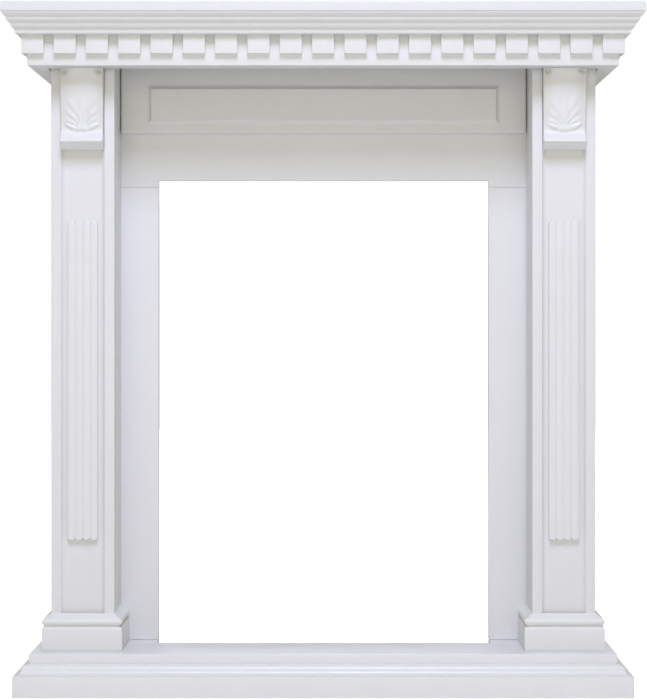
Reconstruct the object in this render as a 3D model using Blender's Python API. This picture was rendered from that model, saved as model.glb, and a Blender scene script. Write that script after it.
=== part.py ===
"""A white classical fireplace mantelpiece: a free-standing surround of painted board and mouldings.

Metres, +Z up, front towards -Y. The back is flat against the wall and the origin is at the
middle of the underside. Widths build up outwards from the fire opening, depths build up
forwards from the wall, and heights build up from the floor to the shelf.
"""

import math

import bmesh
import bpy
from mathutils import Vector

for old in list(bpy.data.objects):
    bpy.data.objects.remove(old)

# The joint left between neighbouring pieces
JOINT = 0.0003

# Fire opening and the flat surround around it
OPENING_WIDTH = 0.563
OPENING_HEIGHT = 0.783
STILE_REVEAL = 0.064
RAIL_LEG = 0.0115
SURROUND_THICKNESS = 0.016

# Pilasters: a channelled front board on a side board and an inner return
PILASTER_WIDTH = 0.1045
PILASTER_FRONT_THICKNESS = 0.018
BOARD_THICKNESS = 0.016
BODY_DEPTH = 0.312
RETURN_DEPTH = 0.107
FIELD_WIDTH = 0.059
FIELD_COVE = 0.0065
FIELD_DEPTH = 0.005

# Header board between the pilasters, with a raised field inside a cove
HEADER_BOTTOM_ABOVE_OPENING = 0.079
HEADER_SHOWN_HEIGHT = 0.0979
HEADER_THICKNESS = 0.016
HEADER_SIDE_GAP = 0.001
HEADER_EDGE_ROUND = 0.004
HEADER_FIELD_SIDE_MARGIN = 0.0435
HEADER_FIELD_BOTTOM_MARGIN = 0.0134
HEADER_FIELD_HEIGHT = 0.0702
HEADER_FIELD_RAISE = 0.0065
HEADER_FIELD_COVE = 0.009

# Mantel shelf
SHELF_THICKNESS = 0.016
SHELF_ARRIS = 0.0012

# Crown moulding under the shelf: each step is a drop and a setback
CROWN_CHAMFER_DROP = 0.0085
CROWN_CHAMFER_SETBACK = 0.0068
CROWN_FILLET = 0.0020
CROWN_UPPER_COVE_DROP = 0.0058
CROWN_UPPER_COVE_SETBACK = 0.006
CROWN_MID_FILLET = 0.0024
CROWN_LOWER_COVE_DROP = 0.0078
CROWN_LOWER_COVE_SETBACK = 0.0068
CROWN_BEAD = 0.0063
CROWN_LIP_DROP = 0.0012
CROWN_BEAD_OVERHANG = 0.018
CROWN_TOP_ARRIS = 0.0004
CROWN_BACKING = 0.024

# Frieze with its row of dentils
FRIEZE_HEIGHT = 0.0505
FRIEZE_FRONT_THICKNESS = 0.045
FRIEZE_SIDE_THICKNESS = 0.027
FRIEZE_FRONT_CLEARANCE = 0.005
FRIEZE_SIDE_CLEARANCE = 0.005
DENTIL_COUNT = 19
DENTIL_WIDTH = 0.036
DENTIL_HEIGHT = 0.032
DENTIL_PROJECTION = 0.0085
DENTIL_ROOT = 0.002

# Foot moulding round each pilaster
FOOT_PROJECTION = 0.014
FOOT_BLOCK_HEIGHT = 0.0355
FOOT_BLOCK_ROUND = 0.0035
FOOT_GROOVE_DEPTH = 0.005
FOOT_GROOVE_HEIGHT = 0.0022
FOOT_TORUS_HEIGHT = 0.0125
FOOT_TOP_RISE = 0.0068

# Hearth board, and the base moulding under its edge
HEARTH_THICKNESS = 0.016
HEARTH_FRONT_MARGIN = 0.042
HEARTH_SIDE_MARGIN = 0.031
HEARTH_NOTCH_LEAD = 0.031
HEARTH_ROUND = 0.0025
BASE_FACE_HEIGHT = 0.0352
BASE_OGEE_HEIGHT = 0.0176
BASE_OGEE_PROJECTION = 0.021
BASE_LEDGE = 0.003
BASE_EDGE_ROUND = 0.0015
BASE_THICKNESS = 0.040

# Reeded panel planted on each pilaster
REED_COUNT = 4
REED_PITCH = 0.0124
REED_CROWN = 0.0018
REED_PLATE = 0.0072
REED_PANEL_LENGTH = 0.5295
REED_PANEL_TOP_BELOW_SOFFIT = 0.2505
REED_END_ROUND = 0.0045

# Corbel with a hanging leaf under the frieze, on each pilaster
CORBEL_WIDTH = 0.070
CORBEL_HEIGHT = 0.1332
CORBEL_PROJECTION = 0.021
CORBEL_THROAT_PROJECTION = 0.0095
CORBEL_ROLL_PROJECTION = 0.025
CORBEL_FOOT_PROJECTION = 0.003
CORBEL_THROAT_NARROWING = 0.0006
CORBEL_THROAT = 0.785
CORBEL_NOSE = 0.910
CORBEL_SAG = 0.25
CORBEL_COLUMNS = 24
CORBEL_ROWS = 48

# The leaf, as shares of the corbel's height and half width, with its thinnest ground and its ribs
LEAF_RELIEF = 0.0045
LEAF_FOOT = 0.79
LEAF_WIDTH = 0.88
LEAF_LOBES = 6
LEAF_SWEEP = 0.34
LEAF_GROUND = 0.35
LEAF_STEM = 0.45
LEAF_VEIN = 0.35
LEAF_CURL = 0.55

# How far a curved edge stands off its chord, in chords
QUARTER_ROUND = 0.2
TORUS_SWELL = 0.4
OGEE_SWELL = 0.16
COVE_HOLLOW = 0.14
CHANNEL_HOLLOW = 0.12
ARC_STEPS = 4

# Widths from the middle outwards
opening_side = OPENING_WIDTH / 2
pilaster_inner = opening_side + STILE_REVEAL
pilaster_outer = pilaster_inner + PILASTER_WIDTH
pilaster_axis = (pilaster_inner + pilaster_outer) / 2
frieze_side = pilaster_outer + FRIEZE_SIDE_CLEARANCE + FRIEZE_SIDE_THICKNESS
crown_projection = (
    CROWN_TOP_ARRIS
    + CROWN_CHAMFER_SETBACK
    + CROWN_UPPER_COVE_SETBACK
    + CROWN_LOWER_COVE_SETBACK
    + CROWN_BEAD_OVERHANG
)
shelf_side = frieze_side + crown_projection
hearth_side = pilaster_outer + HEARTH_SIDE_MARGIN

# Depths from the wall forwards
shelf_depth = (
    BODY_DEPTH + FRIEZE_FRONT_CLEARANCE + FRIEZE_FRONT_THICKNESS + crown_projection
)
wall = shelf_depth / 2
shelf_front = -shelf_depth / 2
frieze_front = shelf_front + crown_projection
frieze_back = frieze_front + FRIEZE_FRONT_THICKNESS
pilaster_front = wall - BODY_DEPTH
surround_front = pilaster_front + RETURN_DEPTH
hearth_front = pilaster_front - HEARTH_FRONT_MARGIN

# Heights
hearth_bottom = BASE_FACE_HEIGHT + BASE_OGEE_HEIGHT
hearth_top = hearth_bottom + HEARTH_THICKNESS
opening_top = hearth_top + OPENING_HEIGHT
rail_bottom = opening_top - RAIL_LEG
header_bottom = opening_top + HEADER_BOTTOM_ABOVE_OPENING
soffit = header_bottom + HEADER_SHOWN_HEIGHT
frieze_top = soffit + FRIEZE_HEIGHT
crown_height = (
    CROWN_CHAMFER_DROP
    + CROWN_FILLET
    + CROWN_UPPER_COVE_DROP
    + CROWN_MID_FILLET
    + CROWN_LOWER_COVE_DROP
    + CROWN_BEAD
)
shelf_bottom = frieze_top + crown_height
shelf_top = shelf_bottom + SHELF_THICKNESS


def paint(name, colour, roughness):
    """A lacquer: a Principled shader with this colour and roughness."""
    material = bpy.data.materials.new(name)
    material.use_nodes = True
    shader = material.node_tree.nodes["Principled BSDF"]
    shader.inputs["Base Color"].default_value = (*colour, 1.0)
    shader.inputs["Roughness"].default_value = roughness
    shader.inputs["Metallic"].default_value = 0.0
    return material


board_lacquer = paint("board_lacquer", (0.84, 0.85, 0.84), 0.34)
shelf_lacquer = paint("shelf_lacquer", (0.85, 0.86, 0.87), 0.30)
moulding_lacquer = paint("moulding_lacquer", (0.84, 0.84, 0.82), 0.36)
carving_lacquer = paint("carving_lacquer", (0.83, 0.83, 0.80), 0.42)


def loft(name, loops, material):
    """A closed solid through loops of equally many points, with a face over each end."""
    mesh = bpy.data.meshes.new(name)
    body = bmesh.new()
    rings = [[body.verts.new(point) for point in loop] for loop in loops]
    count = len(rings[0])
    for near, far in zip(rings, rings[1:]):
        for i in range(count):
            j = (i + 1) % count
            body.faces.new((near[i], near[j], far[j], far[i]))
    body.faces.new(rings[0])
    body.faces.new(rings[-1])
    bmesh.ops.recalc_face_normals(body, faces=body.faces)
    body.to_mesh(mesh)
    body.free()
    solid = bpy.data.objects.new(name, mesh)
    solid.data.materials.append(material)
    bpy.context.scene.collection.objects.link(solid)
    return solid


def block(name, low, high, material):
    """A box between two corners."""
    (x0, y0, z0), (x1, y1, z1) = low, high
    plan = [(x0, y0), (x1, y0), (x1, y1), (x0, y1)]
    return loft(name, [[(x, y, z) for x, y in plan] for z in (z0, z1)], material)


def prism(name, plan, bottom, top, material):
    """A plan outline carried straight up."""
    return loft(name, [[(x, y, z) for x, y in plan] for z in (bottom, top)], material)


def arc(start, end, bulge, steps=ARC_STEPS):
    """Points after start up to end on an arc that stands off its chord by bulge chords, to the left."""
    start, end = Vector(start), Vector(end)
    chord = end - start
    left = Vector((-chord.y, chord.x))
    half = 2 * math.atan(2 * bulge)
    points = []
    for i in range(1, steps + 1):
        turn = half * (2 * i / steps - 1)
        along = 0.5 + 0.5 * math.sin(turn) / math.sin(half)
        off = 0.5 * (math.cos(turn) - math.cos(half)) / math.sin(half)
        points.append(tuple(start + chord * along + left * off))
    return points


def run(name, profile, start, end, outward, mitres, material):
    """A moulding: a profile of (offset outward, height) points carried from start to end in plan.

    Each end is cut so that it moves along the run by its mitre times the offset: 0 is a
    square cut, -1 at the start and 1 at the end are 45 degree cuts round an outer corner.
    """
    start, end, outward = Vector(start), Vector(end), Vector(outward)
    along = (end - start).normalized()
    loops = []
    for corner, mitre in zip((start, end), mitres):
        spots = [(corner + outward * o + along * o * mitre, z) for o, z in profile]
        loops.append([(spot.x, spot.y, z) for spot, z in spots])
    return loft(name, loops, material)


def soften(solid, width, segments=2):
    """Rounds the sharp edges of a board."""
    bevel = solid.modifiers.new("arris", "BEVEL")
    bevel.width = width
    bevel.segments = segments
    bevel.limit_method = "ANGLE"


def join_blocks(solid, blocks):
    """Makes the blocks one with the solid."""
    for tooth in blocks:
        tooth.hide_render = True
        tooth.display_type = "WIRE"
        union = solid.modifiers.new(tooth.name, "BOOLEAN")
        union.operation = "UNION"
        union.object = tooth


SIDES = (("left", -1), ("right", 1))


# Mantel shelf
def make_shelf():
    low = (-shelf_side, shelf_front, shelf_bottom)
    high = (shelf_side, wall, shelf_top)
    soften(block("mantel_shelf", low, high, shelf_lacquer), SHELF_ARRIS)


# Crown moulding: chamfer, fillet, cove, fillet, cove and bead, in three mitred lengths
def crown_profile():
    """Outline down the front to the bead and back up the backing, as offsets from the frieze face."""
    top = shelf_bottom - JOINT
    outer = crown_projection - CROWN_TOP_ARRIS
    shoulder = outer - CROWN_CHAMFER_SETBACK
    waist = shoulder - CROWN_UPPER_COVE_SETBACK
    bead = waist - CROWN_LOWER_COVE_SETBACK
    chamfer_foot = top - CROWN_CHAMFER_DROP
    fillet_foot = chamfer_foot - CROWN_FILLET
    cove_foot = fillet_foot - CROWN_UPPER_COVE_DROP
    mid_foot = cove_foot - CROWN_MID_FILLET
    bead_top = mid_foot - CROWN_LOWER_COVE_DROP
    points = [(-CROWN_BACKING, top), (outer, top), (shoulder, chamfer_foot), (shoulder, fillet_foot)]
    points += arc((shoulder, fillet_foot), (waist, cove_foot), COVE_HOLLOW)
    points.append((waist, mid_foot))
    points += arc((waist, mid_foot), (bead, bead_top), COVE_HOLLOW)
    points.append((bead, frieze_top + JOINT))
    dentil_face = DENTIL_PROJECTION + JOINT
    lip = (dentil_face, frieze_top - CROWN_LIP_DROP)
    points += arc((bead, frieze_top + JOINT), lip, COVE_HOLLOW)
    points += [(dentil_face, frieze_top + JOINT), (-CROWN_BACKING, frieze_top + JOINT)]
    return points


def make_crown():
    profile = crown_profile()
    left = -frieze_side
    start, end = (left + JOINT / 2, frieze_front), (-left - JOINT / 2, frieze_front)
    run("crown_front", profile, start, end, (0, -1), (-1, 1), moulding_lacquer)
    for side, sign in SIDES:
        x = sign * frieze_side
        front, back = (x, frieze_front + JOINT / 2), (x, wall)
        run(f"crown_{side}", profile, front, back, (sign, 0), (-1, 0), moulding_lacquer)


# Frieze: the front length runs the full width and the side lengths butt against its back
def front_dentils():
    """Left and right edges of each dentil of the front row, out to the corner dentils' sides."""
    reach = frieze_side + DENTIL_PROJECTION
    pitch = (2 * reach - DENTIL_WIDTH) / (DENTIL_COUNT - 1)
    return [(-reach + i * pitch, -reach + i * pitch + DENTIL_WIDTH) for i in range(DENTIL_COUNT)]


def side_dentils():
    """Front and back edges of each dentil behind the corner one, at about the front row's pitch."""
    front_pitch = (2 * (frieze_side + DENTIL_PROJECTION) - DENTIL_WIDTH) / (DENTIL_COUNT - 1)
    corner_back = frieze_front - DENTIL_PROJECTION + DENTIL_WIDTH
    count = max(1, round((wall - corner_back) / front_pitch))
    pitch = (wall - corner_back) / count
    return [(corner_back + i * pitch - DENTIL_WIDTH, corner_back + i * pitch) for i in range(1, count + 1)]


def make_frieze():
    dentil_bottom = frieze_top - DENTIL_HEIGHT
    front = block(
        "dentil_frieze_front",
        (-frieze_side, frieze_front, soffit),
        (frieze_side, frieze_back, frieze_top),
        moulding_lacquer,
    )
    teeth = []
    edges = front_dentils()
    for i, (x0, x1) in enumerate(edges):
        at_corner = i in (0, len(edges) - 1)
        depth = DENTIL_WIDTH - DENTIL_PROJECTION if at_corner else DENTIL_ROOT
        low = (x0, frieze_front - DENTIL_PROJECTION, dentil_bottom)
        high = (x1, frieze_front + depth, frieze_top)
        teeth.append(block(f"front_tooth_{i + 1}", low, high, moulding_lacquer))
    join_blocks(front, teeth)
    for side, sign in SIDES:
        outer, inner = sign * frieze_side, sign * (frieze_side - FRIEZE_SIDE_THICKNESS)
        start = frieze_back + JOINT
        length = block(
            f"dentil_frieze_{side}",
            (min(outer, inner), start, soffit),
            (max(outer, inner), wall, frieze_top),
            moulding_lacquer,
        )
        root, tip = outer - sign * DENTIL_ROOT, outer + sign * DENTIL_PROJECTION
        teeth = []
        for i, (y0, y1) in enumerate(side_dentils()):
            low = (min(root, tip), max(y0, start), dentil_bottom)
            high = (max(root, tip), y1, frieze_top)
            teeth.append(block(f"{side}_tooth_{i + 1}", low, high, moulding_lacquer))
        join_blocks(length, teeth)


# Pilasters
def channelled_plan(sign):
    """Plan of the front board: a flat rail each side of a sunken field with coved edges."""
    front = pilaster_front
    floor = front + FIELD_DEPTH
    back = front + PILASTER_FRONT_THICKNESS
    axis = sign * pilaster_axis
    half = PILASTER_WIDTH / 2
    field = FIELD_WIDTH / 2
    edge = field + FIELD_COVE
    points = [(axis - half, back), (axis - half, front), (axis - edge, front)]
    points += arc((axis - edge, front), (axis - field, floor), CHANNEL_HOLLOW)
    points.append((axis + field, floor))
    points += arc((axis + field, floor), (axis + edge, front), CHANNEL_HOLLOW)
    points += [(axis + half, front), (axis + half, back)]
    return points


def make_pilasters():
    bottom = hearth_top + JOINT
    top = shelf_bottom - JOINT
    behind = pilaster_front + PILASTER_FRONT_THICKNESS + JOINT
    for side, sign in SIDES:
        prism(f"pilaster_board_{side}", channelled_plan(sign), bottom, top, board_lacquer)
        outer = sorted((sign * pilaster_outer, sign * (pilaster_outer - BOARD_THICKNESS)))
        block(
            f"side_board_{side}",
            (outer[0], behind, bottom),
            (outer[1], wall, top),
            board_lacquer,
        )
        inner = sorted((sign * pilaster_inner, sign * (pilaster_inner + BOARD_THICKNESS)))
        block(
            f"pilaster_return_{side}",
            (inner[0], behind, bottom),
            (inner[1], surround_front - JOINT, top),
            board_lacquer,
        )


# Foot moulding: block, groove, torus and sloping top, mitred round the three shown faces
def foot_profile():
    """Outline as offsets from the pilaster's faces, from the hearth up."""
    bottom = hearth_top + JOINT
    face = FOOT_PROJECTION
    round_start = bottom + FOOT_BLOCK_HEIGHT
    groove_foot = round_start + FOOT_BLOCK_ROUND
    groove = face - FOOT_GROOVE_DEPTH
    torus_foot = groove_foot + FOOT_GROOVE_HEIGHT
    torus_top = torus_foot + FOOT_TORUS_HEIGHT
    points = [(JOINT, bottom), (face, bottom), (face, round_start)]
    points += arc((face, round_start), (face - FOOT_BLOCK_ROUND, groove_foot), -QUARTER_ROUND)
    points += [(groove, groove_foot), (groove, torus_foot)]
    points += arc((groove, torus_foot), (groove, torus_top), -TORUS_SWELL, 2 * ARC_STEPS)
    points.append((JOINT, torus_top + FOOT_TOP_RISE))
    return points


def make_feet():
    profile = foot_profile()
    for side, sign in SIDES:
        outer, inner = sign * pilaster_outer, sign * pilaster_inner
        shift = sign * JOINT / 2
        front = sorted((outer - shift, inner + shift))
        run(
            f"foot_{side}_front",
            profile,
            (front[0], pilaster_front),
            (front[1], pilaster_front),
            (0, -1),
            (-1, 1),
            moulding_lacquer,
        )
        start = pilaster_front + JOINT / 2
        run(
            f"foot_{side}_outer",
            profile,
            (outer, start),
            (outer, wall),
            (sign, 0),
            (-1, 0),
            moulding_lacquer,
        )
        run(
            f"foot_{side}_inner",
            profile,
            (inner, start),
            (inner, surround_front - JOINT),
            (-sign, 0),
            (-1, 0),
            moulding_lacquer,
        )


# Flat surround of the fire opening: two stiles under a rail with short legs
def make_surround():
    back = surround_front + SURROUND_THICKNESS
    reach = pilaster_inner + BOARD_THICKNESS
    for side, sign in SIDES:
        x = sorted((sign * reach, sign * opening_side))
        block(
            f"surround_stile_{side}",
            (x[0], surround_front, hearth_top + JOINT),
            (x[1], back, rail_bottom - JOINT),
            board_lacquer,
        )
    top = shelf_bottom - JOINT
    outline = [
        (-reach, rail_bottom),
        (-opening_side, rail_bottom),
        (-opening_side, opening_top),
        (opening_side, opening_top),
        (opening_side, rail_bottom),
        (reach, rail_bottom),
        (reach, top),
        (-reach, top),
    ]
    loops = [[(x, y, z) for x, z in outline] for y in (surround_front, back)]
    loft("surround_rail", loops, board_lacquer)


def upright_rectangle(half_width, bottom, top, y):
    """Corners of a rectangle that faces the front."""
    return [
        (-half_width, y, bottom),
        (half_width, y, bottom),
        (half_width, y, top),
        (-half_width, y, top),
    ]


def make_header():
    """The header is a board whose front edges are rounded and whose field rises by a cove."""
    half = pilaster_inner - HEADER_SIDE_GAP
    back = surround_front - JOINT
    front = back - HEADER_THICKNESS
    top = shelf_bottom - JOINT
    loops = [upright_rectangle(half, header_bottom, top, back)]
    edge = [(0.0, front + HEADER_EDGE_ROUND)]
    edge += arc(edge[0], (HEADER_EDGE_ROUND, front), -QUARTER_ROUND)
    for inset, y in edge:
        loops.append(upright_rectangle(half - inset, header_bottom + inset, top - inset, y))
    field_half = half - HEADER_FIELD_SIDE_MARGIN
    field_bottom = header_bottom + HEADER_FIELD_BOTTOM_MARGIN
    field_top = field_bottom + HEADER_FIELD_HEIGHT
    cove = [(0.0, front)]
    cove += arc(cove[0], (HEADER_FIELD_COVE, front - HEADER_FIELD_RAISE), QUARTER_ROUND)
    for inset, y in cove:
        loops.append(upright_rectangle(field_half - inset, field_bottom + inset, field_top - inset, y))
    loft("header_board", loops, board_lacquer)


# Hearth board on a base moulding, with a notch behind the opening that widens behind the surround
def make_hearth():
    notch_front = surround_front - HEARTH_NOTCH_LEAD
    surround_back = surround_front + SURROUND_THICKNESS
    plan = [
        (-hearth_side, hearth_front),
        (hearth_side, hearth_front),
        (hearth_side, wall),
        (pilaster_inner, wall),
        (pilaster_inner, surround_back),
        (opening_side, surround_back),
        (opening_side, notch_front),
        (-opening_side, notch_front),
        (-opening_side, surround_back),
        (-pilaster_inner, surround_back),
        (-pilaster_inner, wall),
        (-hearth_side, wall),
    ]
    board = prism("hearth_board", plan, hearth_bottom + JOINT, hearth_top, shelf_lacquer)
    soften(board, HEARTH_ROUND)


def base_profile():
    """Outline as offsets from the hearth board's edge: face, rounded edge, ledge and ogee."""
    face = BASE_OGEE_PROJECTION + BASE_LEDGE
    half_way = (BASE_OGEE_PROJECTION / 2, hearth_bottom - BASE_OGEE_HEIGHT / 2)
    ogee_foot = (BASE_OGEE_PROJECTION, BASE_FACE_HEIGHT)
    back = -BASE_THICKNESS
    points = [(back, 0.0), (face, 0.0), (face, BASE_FACE_HEIGHT - BASE_EDGE_ROUND)]
    points += arc(points[-1], (face - BASE_EDGE_ROUND, BASE_FACE_HEIGHT), -QUARTER_ROUND, 2)
    points.append(ogee_foot)
    points += arc(ogee_foot, half_way, OGEE_SWELL)
    points += arc(half_way, (0.0, hearth_bottom), -OGEE_SWELL)
    points.append((back, hearth_bottom))
    return points


def make_base():
    profile = base_profile()
    shift = JOINT / 2
    start, end = (-hearth_side + shift, hearth_front), (hearth_side - shift, hearth_front)
    run("base_front", profile, start, end, (0, -1), (-1, 1), moulding_lacquer)
    for side, sign in SIDES:
        x = sign * hearth_side
        front, back = (x, hearth_front + shift), (x, wall)
        run(f"base_{side}", profile, front, back, (sign, 0), (-1, 0), moulding_lacquer)


# Reeded panels
def reeded_section(axis, z, swell):
    """Plan of the panel at height z, its reeds standing out of the plate by swell of their crown."""
    back = pilaster_front + FIELD_DEPTH - JOINT
    plate = back - REED_PLATE
    left = axis - REED_COUNT * REED_PITCH / 2
    steps = 2 * ARC_STEPS
    points = [(left + REED_COUNT * REED_PITCH, back, z), (left, back, z), (left, plate, z)]
    for reed in range(REED_COUNT):
        for i in range(1, steps + 1):
            across = i / steps
            height = REED_CROWN * swell * math.sin(math.pi * across)
            points.append((left + (reed + across) * REED_PITCH, plate - height, z))
    return points


def make_reeded_panels():
    top = soffit - REED_PANEL_TOP_BELOW_SOFFIT
    bottom = top - REED_PANEL_LENGTH
    turns = [math.pi / 2 * i / ARC_STEPS for i in range(ARC_STEPS + 1)]
    ends = [(REED_END_ROUND * (1 - math.cos(turn)), math.sin(turn)) for turn in turns]
    stations = [(bottom + inset, swell) for inset, swell in ends]
    stations += [(top - inset, swell) for inset, swell in reversed(ends)]
    for side, sign in SIDES:
        loops = [reeded_section(sign * pilaster_axis, z, swell) for z, swell in stations]
        loft(f"reeded_panel_{side}", loops, carving_lacquer)


# Corbels
def smooth(low, high, value):
    """0 below low, 1 above high, and an even S between."""
    share = min(1.0, max(0.0, (value - low) / (high - low)))
    return share * share * (3 - 2 * share)


def corbel_projection(share):
    """How far the corbel stands out at this share of its height: a slope, a throat and a roll."""
    if share < CORBEL_THROAT:
        down = share / CORBEL_THROAT
        fall = down * (1 + CORBEL_SAG * (1 - down))
        return CORBEL_PROJECTION + (CORBEL_THROAT_PROJECTION - CORBEL_PROJECTION) * fall
    if share < CORBEL_NOSE:
        swell = smooth(CORBEL_THROAT, CORBEL_NOSE, share)
        return CORBEL_THROAT_PROJECTION + (CORBEL_ROLL_PROJECTION - CORBEL_THROAT_PROJECTION) * swell
    under = (share - CORBEL_NOSE) / (1 - CORBEL_NOSE)
    return CORBEL_ROLL_PROJECTION + (CORBEL_FOOT_PROJECTION - CORBEL_ROLL_PROJECTION) * under


def leaf_relief(across, share):
    """Height of the hanging leaf, as a share of its relief, at across from -1 to 1 and share of the height.

    A stem runs down the middle, veins sweep outwards and down from it, and the tip curls out
    above the throat along a hanging arc.
    """
    side = abs(across) / LEAF_WIDTH
    arc_foot = LEAF_FOOT - 0.15 * LEAF_FOOT * side * side
    down = share / arc_foot
    inside = 1 - smooth(0.85, 1.0, side)
    present = smooth(0.0, 0.05, down) * (1 - smooth(0.97, 1.0, down))
    stem = LEAF_STEM * (1 - smooth(0.15, 0.30, side))
    vein = 0.5 + 0.5 * math.cos(2 * math.pi * LEAF_LOBES * (down - LEAF_SWEEP * side))
    veins = LEAF_VEIN * vein * smooth(0.15, 0.45, side) * smooth(0.15, 0.35, down)
    curl = LEAF_CURL * smooth(0.82, 0.97, down)
    return inside * present * (LEAF_GROUND + stem + veins + curl)


def corbel_section(axis, share):
    """Plan of the corbel at this share of its height below the top."""
    lap = pilaster_front - JOINT
    back = lap + FIELD_DEPTH
    tongue = FIELD_WIDTH / 2 - JOINT
    top = soffit - JOINT
    narrowing = CORBEL_THROAT_NARROWING * smooth(0.0, CORBEL_THROAT, share)
    narrowing *= 1 - smooth(CORBEL_THROAT, CORBEL_NOSE, share)
    half = CORBEL_WIDTH / 2 - narrowing
    projection = corbel_projection(share)
    z = top - share * CORBEL_HEIGHT
    points = [(axis + half, lap, z), (axis + tongue, lap, z), (axis + tongue, back, z)]
    points += [(axis - tongue, back, z), (axis - tongue, lap, z), (axis - half, lap, z)]
    for i in range(CORBEL_COLUMNS + 1):
        across = 2 * i / CORBEL_COLUMNS - 1
        relief = LEAF_RELIEF * leaf_relief(across, share)
        points.append((axis + half * across, lap - projection - relief, z))
    return points


def make_corbels():
    shares = [i / CORBEL_ROWS for i in range(CORBEL_ROWS + 1)]
    for side, sign in SIDES:
        loops = [corbel_section(sign * pilaster_axis, share) for share in shares]
        loft(f"corbel_{side}", loops, carving_lacquer)


make_shelf()
make_crown()
make_frieze()
make_pilasters()
make_feet()
make_surround()
make_header()
make_hearth()
make_base()
make_reeded_panels()
make_corbels()
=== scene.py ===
"""A white lacquered fireplace mantelpiece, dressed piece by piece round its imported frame."""

import math

import bmesh
import bpy
import numpy as np
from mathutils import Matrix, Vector


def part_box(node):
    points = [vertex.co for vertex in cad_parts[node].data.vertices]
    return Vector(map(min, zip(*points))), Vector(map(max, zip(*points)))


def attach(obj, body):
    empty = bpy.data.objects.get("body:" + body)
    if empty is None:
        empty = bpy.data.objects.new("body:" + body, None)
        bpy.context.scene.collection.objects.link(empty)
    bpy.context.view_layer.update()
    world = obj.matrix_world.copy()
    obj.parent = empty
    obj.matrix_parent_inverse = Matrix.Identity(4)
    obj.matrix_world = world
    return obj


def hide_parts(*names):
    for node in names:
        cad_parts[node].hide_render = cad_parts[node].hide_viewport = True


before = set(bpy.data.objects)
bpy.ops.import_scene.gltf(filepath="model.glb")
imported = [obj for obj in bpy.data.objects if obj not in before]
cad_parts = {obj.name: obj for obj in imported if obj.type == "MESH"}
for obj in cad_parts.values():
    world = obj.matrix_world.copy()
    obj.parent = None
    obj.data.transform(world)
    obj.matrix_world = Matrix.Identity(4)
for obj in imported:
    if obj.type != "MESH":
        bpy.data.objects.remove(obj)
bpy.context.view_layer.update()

# The lacquer
# The whole surround is sprayed with a white satin lacquer, rubbed down between coats. It has a
# faint orange peel, a little cloudiness in its tone, and dulls slightly where a cloth has rubbed it.
# The carvings' lacquer also has painted shade laid into it.


def new_group(name, inputs, outputs):
    """A shader node group with named float or colour inputs and outputs, and its two end nodes."""
    group = bpy.data.node_groups.new(name, "ShaderNodeTree")
    for label, kind, value in inputs:
        socket = group.interface.new_socket(label, in_out="INPUT", socket_type=kind)
        socket.default_value = value
    for label, kind in outputs:
        group.interface.new_socket(label, in_out="OUTPUT", socket_type=kind)
    return group, group.nodes.new("NodeGroupInput"), group.nodes.new("NodeGroupOutput")


def sprayed_tone():
    """Two whites mixed by soft clouds of noise, and a roughness that drifts with finer ones."""
    group, entry, leave = new_group(
        "sprayed_tone",
        [
            ("Thin Coat", "NodeSocketColor", (0.8, 0.8, 0.8, 1.0)),
            ("Full Coat", "NodeSocketColor", (0.85, 0.85, 0.85, 1.0)),
            ("Sheen Low", "NodeSocketFloat", 0.3),
            ("Sheen High", "NodeSocketFloat", 0.4),
            ("Cloud Scale", "NodeSocketFloat", 6.0),
        ],
        [("Colour", "NodeSocketColor"), ("Roughness", "NodeSocketFloat")],
    )
    nodes, links = group.nodes, group.links
    place = nodes.new("ShaderNodeTexCoord")
    clouds = nodes.new("ShaderNodeTexNoise")
    clouds.inputs["Detail"].default_value = 3.0
    clouds.inputs["Roughness"].default_value = 0.55
    links.new(place.outputs["Object"], clouds.inputs["Vector"])
    links.new(entry.outputs["Cloud Scale"], clouds.inputs["Scale"])
    coat = nodes.new("ShaderNodeMix")
    coat.data_type = "RGBA"
    links.new(clouds.outputs["Fac"], coat.inputs["Factor"])
    links.new(entry.outputs["Thin Coat"], coat.inputs["A"])
    links.new(entry.outputs["Full Coat"], coat.inputs["B"])
    links.new(coat.outputs["Result"], leave.inputs["Colour"])
    rubbed = nodes.new("ShaderNodeTexNoise")
    rubbed.inputs["Scale"].default_value = 38.0
    rubbed.inputs["Detail"].default_value = 5.0
    links.new(place.outputs["Object"], rubbed.inputs["Vector"])
    sheen = nodes.new("ShaderNodeMapRange")
    sheen.inputs["From Min"].default_value = 0.3
    sheen.inputs["From Max"].default_value = 0.7
    links.new(rubbed.outputs["Fac"], sheen.inputs["Value"])
    links.new(entry.outputs["Sheen Low"], sheen.inputs["To Min"])
    links.new(entry.outputs["Sheen High"], sheen.inputs["To Max"])
    links.new(sheen.outputs["Result"], leave.inputs["Roughness"])
    return group


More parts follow.
